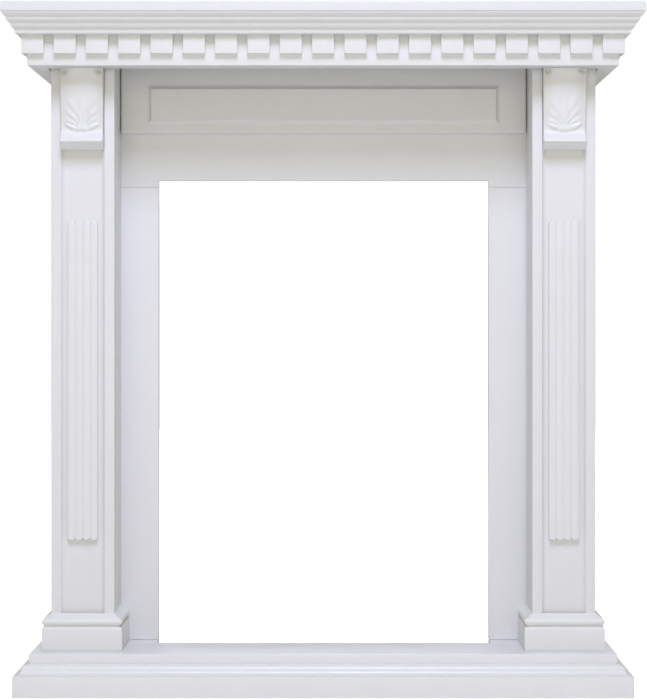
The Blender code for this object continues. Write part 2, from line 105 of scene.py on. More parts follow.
def orange_peel():
    """A normal from fine round pimples of dried spray over a slower waviness of the rubbed ground."""
    group, entry, leave = new_group(
        "orange_peel",
        [("Peel", "NodeSocketFloat", 0.1), ("Wave", "NodeSocketFloat", 0.1)],
        [("Normal", "NodeSocketVector")],
    )
    nodes, links = group.nodes, group.links
    place = nodes.new("ShaderNodeTexCoord")
    pimples = nodes.new("ShaderNodeTexNoise")
    pimples.inputs["Scale"].default_value = 900.0
    pimples.inputs["Detail"].default_value = 1.5
    links.new(place.outputs["Object"], pimples.inputs["Vector"])
    ground = nodes.new("ShaderNodeTexNoise")
    ground.inputs["Scale"].default_value = 24.0
    ground.inputs["Detail"].default_value = 2.0
    links.new(place.outputs["Object"], ground.inputs["Vector"])
    slow = nodes.new("ShaderNodeBump")
    slow.inputs["Distance"].default_value = 0.001
    links.new(entry.outputs["Wave"], slow.inputs["Strength"])
    links.new(ground.outputs["Fac"], slow.inputs["Height"])
    fine = nodes.new("ShaderNodeBump")
    fine.inputs["Distance"].default_value = 0.0001
    links.new(entry.outputs["Peel"], fine.inputs["Strength"])
    links.new(pimples.outputs["Fac"], fine.inputs["Height"])
    links.new(slow.outputs["Normal"], fine.inputs["Normal"])
    links.new(fine.outputs["Normal"], leave.inputs["Normal"])
    return group


def painted_shade_tone():
    """Painted shade: a colour drawn towards a darker, warmer one where a carving's own attribute marks it."""
    group, entry, leave = new_group(
        "painted_shade_tone",
        [
            ("Colour", "NodeSocketColor", (0.85, 0.85, 0.85, 1.0)),
            ("Hollow Colour", "NodeSocketColor", (0.7, 0.7, 0.65, 1.0)),
            ("Strength", "NodeSocketFloat", 0.5),
        ],
        [("Colour", "NodeSocketColor")],
    )
    nodes, links = group.nodes, group.links
    hollow = nodes.new("ShaderNodeAttribute")
    hollow.attribute_name = "hollow"
    share = nodes.new("ShaderNodeMath")
    share.operation = "MULTIPLY"
    links.new(hollow.outputs["Fac"], share.inputs[0])
    links.new(entry.outputs["Strength"], share.inputs[1])
    mix = nodes.new("ShaderNodeMix")
    mix.data_type = "RGBA"
    links.new(share.outputs["Value"], mix.inputs["Factor"])
    links.new(entry.outputs["Colour"], mix.inputs["A"])
    links.new(entry.outputs["Hollow Colour"], mix.inputs["B"])
    links.new(mix.outputs["Result"], leave.inputs["Colour"])
    return group


tone_group = sprayed_tone()
peel_group = orange_peel()
painted_shade_group = painted_shade_tone()


def lacquer(name, thin, full, sheen, cloud_scale, peel, wave):
    """A satin lacquer: a Principled shader fed by the tone and the orange peel groups."""
    material = bpy.data.materials.new(name)
    material.use_nodes = True
    nodes, links = material.node_tree.nodes, material.node_tree.links
    shader = nodes["Principled BSDF"]
    shader.inputs["IOR"].default_value = 1.5
    shader.inputs["Specular IOR Level"].default_value = 0.5
    tone = nodes.new("ShaderNodeGroup")
    tone.node_tree = tone_group
    tone.inputs["Thin Coat"].default_value = (*thin, 1.0)
    tone.inputs["Full Coat"].default_value = (*full, 1.0)
    tone.inputs["Sheen Low"].default_value = sheen[0]
    tone.inputs["Sheen High"].default_value = sheen[1]
    tone.inputs["Cloud Scale"].default_value = cloud_scale
    skin = nodes.new("ShaderNodeGroup")
    skin.node_tree = peel_group
    skin.inputs["Peel"].default_value = peel
    skin.inputs["Wave"].default_value = wave
    links.new(tone.outputs["Colour"], shader.inputs["Base Color"])
    links.new(tone.outputs["Roughness"], shader.inputs["Roughness"])
    links.new(skin.outputs["Normal"], shader.inputs["Normal"])
    return material


def with_painted_shade(material, shade_colour, strength):
    """Puts the painted shade tone between a lacquer's clouds and its shader."""
    nodes, links = material.node_tree.nodes, material.node_tree.links
    shader = nodes["Principled BSDF"]
    before = shader.inputs["Base Color"].links[0].from_socket
    shade_tone_node = nodes.new("ShaderNodeGroup")
    shade_tone_node.node_tree = painted_shade_group
    shade_tone_node.inputs["Hollow Colour"].default_value = (*shade_colour, 1.0)
    shade_tone_node.inputs["Strength"].default_value = strength
    links.new(before, shade_tone_node.inputs["Colour"])
    links.new(shade_tone_node.outputs["Colour"], shader.inputs["Base Color"])
    return material


flat_lacquer = lacquer(
    "flat_board_lacquer", (0.78, 0.78, 0.775), (0.81, 0.81, 0.805), (0.32, 0.42), 5.0, 0.18, 0.05
)
top_lacquer = lacquer(
    "top_board_lacquer", (0.80, 0.805, 0.81), (0.83, 0.835, 0.84), (0.28, 0.38), 4.0, 0.16, 0.04
)
run_lacquer = lacquer(
    "run_moulding_lacquer", (0.80, 0.80, 0.79), (0.83, 0.83, 0.82), (0.30, 0.40), 9.0, 0.14, 0.03
)
# The carving lacquer darkens towards a warm grey where its mark is set: painted shade on the corbels and in
# the reeds' creases.
painted_shade_lacquer = with_painted_shade(
    lacquer("carving_lacquer", (0.79, 0.79, 0.78), (0.83, 0.83, 0.82), (0.34, 0.48), 22.0, 0.22, 0.05),
    (0.69, 0.685, 0.62),
    0.55,
)

# Mantel shelf
# One 16 mm fibreboard, its arrises rubbed round with a sanding block before spraying. It is
# screwed down on the crown moulding and the boards of the case from inside.

SHELF_ARRIS = 0.0011
ARRIS_STEPS = 4
EDGE_SHARE = 0.45


def inset(corners, depth):
    """Each corner of an anticlockwise outline, moved so that both its edges shift inwards by depth."""
    edges = np.roll(corners, -1, 0) - corners
    inward = np.stack([-edges[:, 1], edges[:, 0]], 1) / np.linalg.norm(edges, axis=1)[:, None]
    before = np.roll(inward, 1, 0)
    mitre = (before + inward) / (1 + (before * inward).sum(1))[:, None]
    return corners + depth * mitre


def eased(corners, radius, steps=ARRIS_STEPS):
    """The outline with each corner swapped for a parabola that leaves both edges a radius away from it.

    At share t along the parabola the point is (1-t)^2 of its start, 2t(1-t) of the corner and t^2 of its end.
    The radius is held to EDGE_SHARE of the shorter edge.
    """
    back, ahead = np.roll(corners, 1, 0) - corners, np.roll(corners, -1, 0) - corners
    back_length = np.linalg.norm(back, axis=1)[:, None]
    ahead_length = np.linalg.norm(ahead, axis=1)[:, None]
    reach = np.minimum(radius, EDGE_SHARE * np.minimum(back_length, ahead_length))
    start = corners + back / back_length * reach
    end = corners + ahead / ahead_length * reach
    t = np.linspace(0, 1, steps + 1)[None, :, None]
    points = (1 - t) ** 2 * start[:, None] + 2 * t * (1 - t) * corners[:, None] + t**2 * end[:, None]
    return points.reshape(-1, 2)


def ringed(rings):
    """Points and faces of a closed body through rings of equally many points, with a face over each end."""
    rings = np.asarray(rings)
    rows, columns = rings.shape[:2]
    index = np.arange(rows * columns).reshape(rows, columns)
    here, across = index[:-1], np.roll(index, -1, 1)[:-1]
    above, beyond = index[1:], np.roll(index, -1, 1)[1:]
    sides = np.stack([here, across, beyond, above], -1).reshape(-1, 4).tolist()
    ends = [index[0, ::-1].tolist(), index[-1].tolist()]
    return rings.reshape(-1, 3), sides + ends


def slab(outline, low, high, arris, upright="z", lower_arris=None):
    """A board of a plan outline from low to high, with its arrises rounded by a quarter circle.

    The outline shrinks towards each face by arris * (1 - cos) while the height moves by arris * sin.
    With upright "y" the outline is seen from the front, and low and high are depths.
    """
    turn = np.linspace(0, math.pi / 2, ARRIS_STEPS + 1)
    lower = arris if lower_arris is None else lower_arris
    shrink, rise = 1 - np.cos(turn), 1 - np.sin(turn)
    levels = [(low + lower * r, lower * s) for r, s in zip(rise[::-1], shrink[::-1])]
    levels += [(high - arris * r, arris * s) for r, s in zip(rise, shrink)]
    rings = []
    for height, depth in levels:
        plan = eased(inset(np.array(outline, float), depth), arris)
        level = np.full(len(plan), height)
        order = {"z": (plan[:, 0], plan[:, 1], level), "y": (plan[:, 0], level, plan[:, 1])}
        rings.append(np.stack(order[upright], 1))
    return ringed(rings)


def piece(name, bodies, material, replaced, crease=32, attribute=None):
    """One object of several closed bodies, riding the frame in place of the nodes that it replaces.

    Edges that turn by more than crease degrees stay sharp. The attribute holds, for each point of
    each body, how much painted shade the carving lacquer lays on it.
    """
    points, faces, first = [], [], 0
    for body_points, body_faces in bodies:
        points.append(body_points)
        faces += [[corner + first for corner in face] for face in body_faces]
        first += len(body_points)
    mesh = bpy.data.meshes.new(name)
    mesh.from_pydata(np.concatenate(points).tolist(), [], faces)
    mesh.shade_smooth()
    mesh.set_sharp_from_angle(angle=math.radians(crease))
    if attribute is not None:
        layer = mesh.attributes.new("hollow", "FLOAT", "POINT")
        layer.data.foreach_set("value", np.concatenate(attribute).astype(np.float32))
    solid = bpy.data.objects.new(name, mesh)
    solid.data.materials.append(material)
    bpy.context.scene.collection.objects.link(solid)
    outward(mesh)
    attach(solid, "root")
    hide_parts(*replaced)


def outward(mesh):
    """Turns the mesh's faces so that they point out of the body."""
    body = bmesh.new()
    body.from_mesh(mesh)
    bmesh.ops.recalc_face_normals(body, faces=body.faces)
    body.to_mesh(mesh)
    body.free()


def rectangle(x0, x1, y0, y1):
    """Corners of an upright rectangle, anticlockwise."""
    return [(x0, y0), (x1, y0), (x1, y1), (x0, y1)]


shelf_low, shelf_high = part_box("mantel_shelf")
shelf_plan = rectangle(shelf_low.x, shelf_high.x, shelf_low.y, shelf_high.y)
piece(
    "shelf_board",
    [slab(shelf_plan, shelf_low.z, shelf_high.z, SHELF_ARRIS)],
    top_lacquer,
    ["mantel_shelf"],
)

# Crown moulding
# A run moulding of chamfer, fillet, two coves and a bead, machined from one strip of fibreboard.
# It is mitred round the two front corners, and its thin lip just covers the dentils' top edges.

SIDES = (("left", -1), ("right", 1))
JOINT = 0.0003
MITRE_GAP = JOINT / 2
CHAMFER_DROP, CHAMFER_SETBACK = 0.0085, 0.0068
UPPER_FILLET = 0.0020
UPPER_COVE_DROP, UPPER_COVE_SETBACK = 0.0058, 0.0060
MIDDLE_FILLET = 0.0024
LOWER_COVE_DROP, LOWER_COVE_SETBACK = 0.0078, 0.0068
LIP_DROP = 0.0012
DENTIL_PROJECTION = 0.0085
CROWN_BACKING = 0.024
CROWN_ARRIS = 0.0004
CHAMFER_SWELL, RUN_SAG = 0.08, 0.14


def bowed(start, end, bulge, steps=10):
    """Points after start up to end on the arc that stands off its chord by bulge chords to the left.

    The arc's half angle is twice the arctangent of twice the bulge, and each point sits at
    an even share of the turn.
    """
    start, end = np.array(start, float), np.array(end, float)
    chord = end - start
    left = np.array([-chord[1], chord[0]])
    half = 2 * math.atan(2 * bulge)
    turn = half * np.linspace(-1, 1, steps + 1)[1:, None]
    along = 0.5 + 0.5 * np.sin(turn) / math.sin(half)
    off = 0.5 * (np.cos(turn) - math.cos(half)) / math.sin(half)
    return (start + chord * along + left * off).tolist()


def moulding(profile, start, end, outward_way, mitres, arris):
    """A profile of (offset, height) carried straight from start to end in plan.

    A point's place is the run's corner plus the outward way times its offset, plus the run's
    direction times its offset times the mitre of that end.
    """
    outline = eased(np.array(profile, float), arris, 2)
    start, end, way = (np.array(value, float) for value in (start, end, outward_way))
    along = (end - start) / np.linalg.norm(end - start)
    offset, height = outline[:, 0:1], outline[:, 1]
    rings = []
    for corner, mitre in zip((start, end), mitres):
        plan = corner + way * offset + along * offset * mitre
        rings.append(np.column_stack([plan, height]))
    return ringed(rings)


frieze_low, frieze_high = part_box("dentil_frieze_front")
crown_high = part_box("crown_front")[1]
frieze_side = frieze_high.x - DENTIL_PROJECTION
frieze_front = frieze_low.y + DENTIL_PROJECTION
frieze_top, soffit = frieze_high.z, frieze_low.z
wall = shelf_high.y


def crown_profile():
    """Outline of the crown as offsets from the frieze face: down the front, under the lip, up the back."""
    top = crown_high.z
    outer = crown_high.x - frieze_side
    shoulder = outer - CHAMFER_SETBACK
    waist = shoulder - UPPER_COVE_SETBACK
    bead = waist - LOWER_COVE_SETBACK
    chamfer_foot = top - CHAMFER_DROP
    fillet_foot = chamfer_foot - UPPER_FILLET
    cove_foot = fillet_foot - UPPER_COVE_DROP
    middle_foot = cove_foot - MIDDLE_FILLET
    bead_top = middle_foot - LOWER_COVE_DROP
    lip = DENTIL_PROJECTION + JOINT
    points = [(-CROWN_BACKING, top), (outer, top)]
    points += bowed((outer, top), (shoulder, chamfer_foot), CHAMFER_SWELL)
    points.append((shoulder, fillet_foot))
    points += bowed((shoulder, fillet_foot), (waist, cove_foot), RUN_SAG)
    points.append((waist, middle_foot))
    points += bowed((waist, middle_foot), (bead, bead_top), RUN_SAG)
    points.append((bead, frieze_top + JOINT))
    points += bowed((bead, frieze_top + JOINT), (lip, frieze_top - LIP_DROP), RUN_SAG)
    points += [(lip, frieze_top + JOINT), (-CROWN_BACKING, frieze_top + JOINT)]
    return points


crown_outline = crown_profile()
crown_end = frieze_side - MITRE_GAP
piece(
    "crown_run_front",
    [
        moulding(
            crown_outline,
            (-crown_end, frieze_front),
            (crown_end, frieze_front),
            (0, -1),
            (-1, 1),
            CROWN_ARRIS,
        )
    ],
    run_lacquer,
    ["crown_front"],
)
for side, sign in SIDES:
    corner = (sign * frieze_side, frieze_front + MITRE_GAP)
    piece(
        f"crown_run_{side}",
        [moulding(crown_outline, corner, (sign * frieze_side, wall), (sign, 0), (-1, 0), CROWN_ARRIS)],
        run_lacquer,
        [f"crown_{side}"],
    )

# Frieze and dentils
# A flat box of fibreboard under the crown, mitred at the corners, which laps over the heads of the
# pilasters. The dentils are small blocks with eased arrises, glued on in an even row.

DENTIL_COUNT = 19
DENTIL_WIDTH, DENTIL_HEIGHT, DENTIL_ROOT = 0.036, 0.032, 0.002
FRIEZE_ARRIS = 0.0006
DENTIL_ARRIS = 0.0005


def dentil_centres():
    """Middles of the dentils along the front, and behind the corner one along a side, at even pitches."""
    reach = frieze_side + DENTIL_PROJECTION - DENTIL_WIDTH / 2
    front = np.linspace(-reach, reach, DENTIL_COUNT)
    first = frieze_front - DENTIL_PROJECTION + DENTIL_WIDTH / 2
    last = wall - DENTIL_WIDTH / 2
    count = max(1, round((last - first) / (front[1] - front[0])))
    return front, np.linspace(first, last, count + 1)[1:]


def dentil(x0, x1, y0, y1):
    """One block, its top close under the crown."""
    return slab(rectangle(x0, x1, y0, y1), frieze_top - DENTIL_HEIGHT, frieze_top, DENTIL_ARRIS)


inner_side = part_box("dentil_frieze_right")[0].x
inner_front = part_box("dentil_frieze_left")[0].y - JOINT
front_centres, side_centres = dentil_centres()
half_dentil = DENTIL_WIDTH / 2
front_plan = [
    (-frieze_side + MITRE_GAP, frieze_front),
    (frieze_side - MITRE_GAP, frieze_front),
    (inner_side - MITRE_GAP, inner_front),
    (-inner_side + MITRE_GAP, inner_front),
]
front_bodies = [slab(front_plan, soffit, frieze_top, FRIEZE_ARRIS)]
for number, centre in enumerate(front_centres):
    at_corner = number in (0, DENTIL_COUNT - 1)
    depth = DENTIL_WIDTH - DENTIL_PROJECTION if at_corner else DENTIL_ROOT
    front_bodies.append(
        dentil(
            centre - half_dentil,
            centre + half_dentil,
            frieze_front - DENTIL_PROJECTION,
            frieze_front + depth,
        )
    )
piece("dentil_row_front", front_bodies, run_lacquer, ["dentil_frieze_front"])
for side, sign in SIDES:
    plan = [
        (frieze_side, frieze_front + MITRE_GAP),
        (frieze_side, wall),
        (inner_side, wall),
        (inner_side, inner_front + MITRE_GAP),
    ]
    plan = [(sign * x, y) for x, y in plan][::sign]
    bodies = [slab(plan, soffit, frieze_top, FRIEZE_ARRIS)]
    edges = sorted((sign * (frieze_side - DENTIL_ROOT), sign * (frieze_side + DENTIL_PROJECTION)))
    for centre in side_centres:
        bodies.append(dentil(*edges, centre - half_dentil, centre + half_dentil))
    piece(f"dentil_row_{side}", bodies, run_lacquer, [f"dentil_frieze_{side}"])

# Pilaster case
# Each pilaster is a hollow post of boards: a front board with a sunken channel run down its face,
# a side board that goes back to the wall, and a return that meets the flat surround.

FIELD_WIDTH, FIELD_COVE, FIELD_DEPTH = 0.059, 0.0065, 0.005
CHANNEL_HOLLOW = 0.12
BOARD_ARRIS = 0.0007


def channel_plan(low, high):
    """Plan of a front board whose face steps into a sunken field by a cove each side."""
    axis = (low.x + high.x) / 2
    face, floor = low.y, low.y + FIELD_DEPTH
    field, edge = FIELD_WIDTH / 2, FIELD_WIDTH / 2 + FIELD_COVE
    points = [(low.x, face), (axis - edge, face)]
    points += bowed((axis - edge, face), (axis - field, floor), CHANNEL_HOLLOW)
    points.append((axis + field, floor))
    points += bowed((axis + field, floor), (axis + edge, face), CHANNEL_HOLLOW)
    points += [(high.x, face), (high.x, high.y), (low.x, high.y)]
    return points


def board(node):
    """A plain board of a node's own size with rubbed arrises."""
    low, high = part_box(node)
    return slab(rectangle(low.x, high.x, low.y, high.y), low.z, high.z, BOARD_ARRIS)


for side in ("left", "right"):
    low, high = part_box(f"pilaster_board_{side}")
    piece(
        f"channelled_board_{side}",
        [slab(channel_plan(low, high), low.z, high.z, BOARD_ARRIS)],
        flat_lacquer,
        [f"pilaster_board_{side}"],
    )
    for part in ("side_board", "pilaster_return"):
        node = f"{part}_{side}"
        piece(f"{part}_painted_{side}", [board(node)], flat_lacquer, [node])

# Foot mouldings
# A plinth block with a rounded top, a groove and a half-round torus under a sloping cap. It is run
# as one strip, mitred round the three shown faces of each pilaster and pinned on.

FOOT_PROJECTION = 0.014
FOOT_BLOCK_HEIGHT, FOOT_BLOCK_ROUND = 0.0355, 0.0035
FOOT_GROOVE_DEPTH, FOOT_GROOVE_HEIGHT = 0.005, 0.0022
FOOT_TORUS_HEIGHT, FOOT_TOP_RISE = 0.0125, 0.0068
FOOT_ARRIS = 0.0004
QUARTER_ROUND = 0.2
TORUS_SWELL, TORUS_STEPS = 0.4, 16
FILLED = 0.0002


def foot_profile(bottom):
    """Outline as offsets from the pilaster's face, up the front and down the glued back.

    The back is sunk by a hair into the pilaster's face, as the glue line is filled before spraying.
    """
    face, shoulder = FOOT_PROJECTION, bottom + FOOT_BLOCK_HEIGHT
    groove_foot = shoulder + FOOT_BLOCK_ROUND
    groove = face - FOOT_GROOVE_DEPTH
    torus_foot = groove_foot + FOOT_GROOVE_HEIGHT
    torus_top = torus_foot + FOOT_TORUS_HEIGHT
    points = [(-FILLED, bottom), (face, bottom), (face, shoulder)]
    points += bowed((face, shoulder), (face - FOOT_BLOCK_ROUND, groove_foot), -QUARTER_ROUND)
    points += [(groove, groove_foot), (groove, torus_foot)]
    points += bowed((groove, torus_foot), (groove, torus_top), -TORUS_SWELL, TORUS_STEPS)
    points.append((-FILLED, torus_top + FOOT_TOP_RISE))
    return points


for side, sign in SIDES:
    low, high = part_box(f"pilaster_board_{side}")
    outer, inner = (low.x, high.x) if sign < 0 else (high.x, low.x)
    profile = foot_profile(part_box(f"foot_{side}_front")[0].z)
    surround_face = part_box(f"foot_{side}_inner")[1].y
    runs = {
        "front": ((low.x + MITRE_GAP, low.y), (high.x - MITRE_GAP, low.y), (0, -1), (-1, 1)),
        "outer": ((outer, low.y + MITRE_GAP), (outer, wall), (sign, 0), (-1, 0)),
        "inner": ((inner, low.y + MITRE_GAP), (inner, surround_face), (-sign, 0), (-1, 0)),
    }
    for where, (start, end, way, mitres) in runs.items():
        piece(
            f"foot_run_{side}_{where}",
            [moulding(profile, start, end, way, mitres, FOOT_ARRIS)],
            run_lacquer,
            [f"foot_{side}_{where}"],
        )

# Flat surround
# Two stiles and a rail of plain board round the fire opening. The rail's short legs stand on the
# stiles, and the fine joint between them shows just below the opening's head.

SURROUND_ARRIS = 0.0005
RAIL_LEG = 0.0115
rail_low, rail_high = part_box("surround_rail")
for side in ("left", "right"):
    low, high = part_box(f"surround_stile_{side}")
    piece(
        f"surround_upright_{side}",
        [slab(rectangle(low.x, high.x, low.z, high.z), low.y, high.y, SURROUND_ARRIS, "y")],
        flat_lacquer,
        [f"surround_stile_{side}"],
    )
opening_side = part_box("surround_stile_right")[0].x
rail_outline = [
    (rail_low.x, rail_low.z),
    (-opening_side, rail_low.z),
    (-opening_side, rail_low.z + RAIL_LEG),
    (opening_side, rail_low.z + RAIL_LEG),
    (opening_side, rail_low.z),
    (rail_high.x, rail_low.z),
    (rail_high.x, rail_high.z),
    (rail_low.x, rail_high.z),
]
piece(
    "surround_head",
    [slab(rail_outline, rail_low.y, rail_high.y, SURROUND_ARRIS, "y")],
    flat_lacquer,
    ["surround_rail"],
)

# Header board
# A board planted between the pilasters, its lower edge rounded over. A long raised field is glued
# on it, its four edges cut with a cove that starts flat in the board and ends in a sharp arris.

HEADER_EDGE = 0.004
FIELD_SIDE_MARGIN, FIELD_BOTTOM_MARGIN = 0.0435, 0.0134
HEADER_FIELD_HEIGHT, HEADER_FIELD_RAISE, HEADER_FIELD_COVE = 0.0702, 0.0065, 0.009
HEADER_EDGE_STEPS = 8
FIELD_CORNER = 0.0006
header_low, header_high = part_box("header_board")


def upright_ring(half, bottom, top, depth, y, radius):
    """A rectangle that faces the front at y, its edges moved in by depth and its corners eased."""
    plan = eased(np.array(rectangle(depth - half, half - depth, bottom + depth, top - depth)), radius)
    return np.column_stack([plan[:, 0], np.full(len(plan), y), plan[:, 1]])


def header_rings():
    """Rectangles seen from the front, first out round the edge, then in and up the field's cove."""
    half = header_high.x
    front, back = header_low.y + HEADER_FIELD_RAISE, header_high.y
    bottom, top = header_low.z, header_high.z
    steps = [(0.0, back), (0.0, front + HEADER_EDGE)]
    steps += bowed(steps[-1], (HEADER_EDGE, front), -QUARTER_ROUND, HEADER_EDGE_STEPS)
    rings = [upright_ring(half, bottom, top, depth, y, HEADER_EDGE) for depth, y in steps]
    field_half = half - FIELD_SIDE_MARGIN
    field_bottom = bottom + FIELD_BOTTOM_MARGIN
    field_top = field_bottom + HEADER_FIELD_HEIGHT
    cove = [(0.0, front)]
    cove += bowed(cove[0], (HEADER_FIELD_COVE, header_low.y), QUARTER_ROUND)
    for depth, y in cove:
        rings.append(upright_ring(field_half, field_bottom, field_top, depth, y, FIELD_CORNER))
    return rings


piece("header_panel", [ringed(header_rings())], flat_lacquer, ["header_board"])

# Hearth board
# The board that the pilasters stand on, its front and ends rounded over, notched behind the
# opening so that a fire can stand on the floor.

HEARTH_ROUND, HEARTH_LOWER_ARRIS = 0.0025, 0.0001
NOTCH_LEAD = 0.031
hearth_low, hearth_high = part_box("hearth_board")
notch_front = rail_low.y - NOTCH_LEAD
pilaster_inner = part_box("pilaster_board_right")[0].x
hearth_plan = [
    (hearth_low.x, hearth_low.y),
    (hearth_high.x, hearth_low.y),
    (hearth_high.x, wall),
    (pilaster_inner, wall),
    (pilaster_inner, rail_high.y),
    (opening_side, rail_high.y),
    (opening_side, notch_front),
    (-opening_side, notch_front),
    (-opening_side, rail_high.y),
    (-pilaster_inner, rail_high.y),
    (-pilaster_inner, wall),
    (hearth_low.x, wall),
]
piece(
    "hearth_slab",
    [slab(hearth_plan, hearth_low.z - JOINT, hearth_high.z, HEARTH_ROUND, lower_arris=HEARTH_LOWER_ARRIS)],
    top_lacquer,
    ["hearth_board"],
)

# Base moulding
# A deep skirting with an ogee along its top, mitred round the front and the two ends. The hearth
# board rests on it, and it carries the whole surround on the floor.

BASE_FACE, BASE_OGEE_HEIGHT = 0.0352, 0.0176
BASE_OGEE_PROJECTION, BASE_LEDGE = 0.021, 0.003
BASE_THICKNESS, BASE_ARRIS = 0.040, 0.0006
OGEE_SWELL = 0.16


def base_profile():
    """Outline as offsets from the hearth board's edge: face, ledge, ogee and back."""
    face = BASE_OGEE_PROJECTION + BASE_LEDGE
    top = BASE_FACE + BASE_OGEE_HEIGHT
    half_way = (BASE_OGEE_PROJECTION / 2, top - BASE_OGEE_HEIGHT / 2)
    foot = (BASE_OGEE_PROJECTION, BASE_FACE)
    points = [(-BASE_THICKNESS, 0.0), (face, 0.0), (face, BASE_FACE), foot]
    points += bowed(foot, half_way, OGEE_SWELL)
    points += bowed(half_way, (0.0, top), -OGEE_SWELL)
    points.append((-BASE_THICKNESS, top))
    return points


base_outline = base_profile()
base_side, base_front = hearth_high.x, hearth_low.y
piece(
    "base_run_front",
    [
        moulding(
            base_outline,
            (-base_side + MITRE_GAP, base_front),
            (base_side - MITRE_GAP, base_front),
            (0, -1),
            (-1, 1),
            BASE_ARRIS,
        )
    ],
    run_lacquer,
    ["base_front"],
)
for side, sign in SIDES:
    corner = (sign * base_side, base_front + MITRE_GAP)
    piece(
        f"base_run_{side}",
        [moulding(base_outline, corner, (sign * base_side, wall), (sign, 0), (-1, 0), BASE_ARRIS)],
        run_lacquer,
        [f"base_{side}"],
    )

# Reeded panels
# A thin strip moulded with four low reeds, glued into the channel of each pilaster. Each reed
# ends in a half dome, so the strip's ends are scalloped.

REED_COUNT = 4
REED_CROWN, REED_PLATE = 0.0008, 0.0082
REED_SCALLOP = 0.6
REED_COLUMNS, REED_END_ROWS = 16, 12
CREASE_POWER = 4


def reeded_panel(low, high):
    """Rings up the strip: each reed stands out by crown * (1 - t^2), with t from -1 to 1 across it.

    Towards an end the ring climbs by 1 - cos of its turn while the reed swells by the turn's sine
    and its plate by the root of that sine, so the reed closes in a low half dome whose rim is
    1 - sqrt(1 - t^2) of the scallop. A power of that rim marks the creases for painted shade.
    """
    pitch = (high.x - low.x) / REED_COUNT
    t = np.linspace(-1, 1, REED_COLUMNS + 1)[:-1]
    across = np.concatenate([t] * REED_COUNT + [[1.0]])
    middles = low.x + pitch * (np.repeat(np.arange(REED_COUNT), REED_COLUMNS) + 0.5)
    x = np.append(middles, middles[-1]) + across * pitch / 2
    fullness = np.sqrt(np.clip(1 - across**2, 0, 1))
    dome = REED_SCALLOP * pitch / 2 * (1 - fullness)
    end_turn = np.linspace(0, math.pi / 2, REED_END_ROWS)
    climbs = REED_SCALLOP * pitch / 2 * (1 - np.cos(end_turn))
    swells = np.sin(end_turn)
    rings = []
    stations = [(climb, swell, 0) for climb, swell in zip(climbs, swells)]
    stations += [(climb, swell, 1) for climb, swell in zip(climbs[::-1], swells[::-1])]
    for climb, swell, upper in stations:
        edge = dome + climb
        z = high.z - edge if upper else low.z + edge
        y = high.y - (REED_PLATE * swell**0.5 + REED_CROWN * (1 - across**2) * swell)
        front = np.column_stack([x, y, z])
        back = front[::-1].copy()
        back[:, 1] = high.y
        rings.append(np.concatenate([front, back]))
    points, faces = ringed(rings)
    # The mark is painted shade, full in the creases between the reeds and on the strip's back.
    hollow = np.concatenate([np.concatenate([1 - fullness, np.ones(len(x))])] * len(rings)) ** CREASE_POWER
    return points, faces, hollow


for side in ("left", "right"):
    points, faces, hollow = reeded_panel(*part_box(f"reeded_panel_{side}"))
    piece(
        f"reeds_{side}",
        [(points, faces)],
        painted_shade_lacquer,
        [f"reeded_panel_{side}"],
        crease=50,
        attribute=[hollow],
    )

# Corbels
# A bracket cast in resin from a carving: a hollow slope down to a throat, and a roll at the foot.
# An acanthus leaf hangs over the slope and turns its scalloped tip out above the roll.

CORBEL_COLUMNS, CORBEL_ROWS = 190, 300
CORBEL_PROJECTION, THROAT_PROJECTION = 0.021, 0.0095
ROLL_PROJECTION, ROLL_FOOT_PROJECTION = 0.025, 0.003
THROAT, NOSE, SAG = 0.785, 0.910, 0.25
THROAT_LEAD, THROAT_EASE, EASE_SAMPLES = 0.01, 0.045, 11
THROAT_NARROWING = 0.0006
UNDER_START, UNDER_GAIN = 0.7, 0.3
SIDE_START, SIDE_ROUND = 0.95, 0.05
LEAF_RELIEF = 0.0045
LEAF_FOOT, LEAF_HALF_WIDTH = 0.790, 0.86
GROUND_HEIGHT, STEM_HEIGHT, GROOVE_DEPTH, LOBE_HEIGHT = 0.40, 0.10, 0.12, 0.26
GROUND_SIDES = (0.45, 1.10)
STEM_NARROW, STEM_SPREAD, STEM_INSIDE, STEM_OUTSIDE = 0.13, 0.12, 0.08, 0.06
STEM_WIDENS, STEM_SHOWS = (0.45, 0.95), (0.25, 0.70)
GROOVE_ASIDE, GROOVE_WIDTH, GROOVE_SHOWS = 0.08, 0.07, (0.60, 0.85)
FAN_CENTRE, FAN_REACH, FAN_LOBES = 0.75, 0.36, 4.0
FAN_SWIRL, FAN_OFFSET = 0.9, 0.12
FAN_STARTS, FAN_ENDS = (0.12, 0.40), (0.70, 1.55)
FAN_OPENS, FAN_CLOSES, FAN_SIDES = (0.0, 0.35), (0.78, 1.0), (0.72, 1.0)
TIP_SIDES, LEAF_ENDS = (0.78, 1.0), (0.93, 1.0)
TIP_RISE, TIP_CURVE, TIP_SCALLOPS, SCALLOP_DROP = 0.085, 2.4, 5.0, 0.008
TIP_REACH, TIP_HEIGHT, SCALLOP_HEIGHT, SCALLOP_POWER = 0.15, 0.78, 0.34, 0.8
DIMPLE_DEPTH, DIMPLE_ACROSS, DIMPLE_WIDTH = 1.9, 0.84, 0.15
DIMPLE_DOWN, DIMPLE_HEIGHT = 0.035, 0.035
# How much painted shade the low parts of the bracket take, and where it fades out.
PAINTED_SHADE_GAIN, PAINTED_SHADE_FADE = 2.5, 0.50


def eased_step(low, high, value):
    """0 below low, 1 above high, and an even S between."""
    share = np.clip((value - low) / (high - low), 0, 1)
    return share * share * (3 - 2 * share)


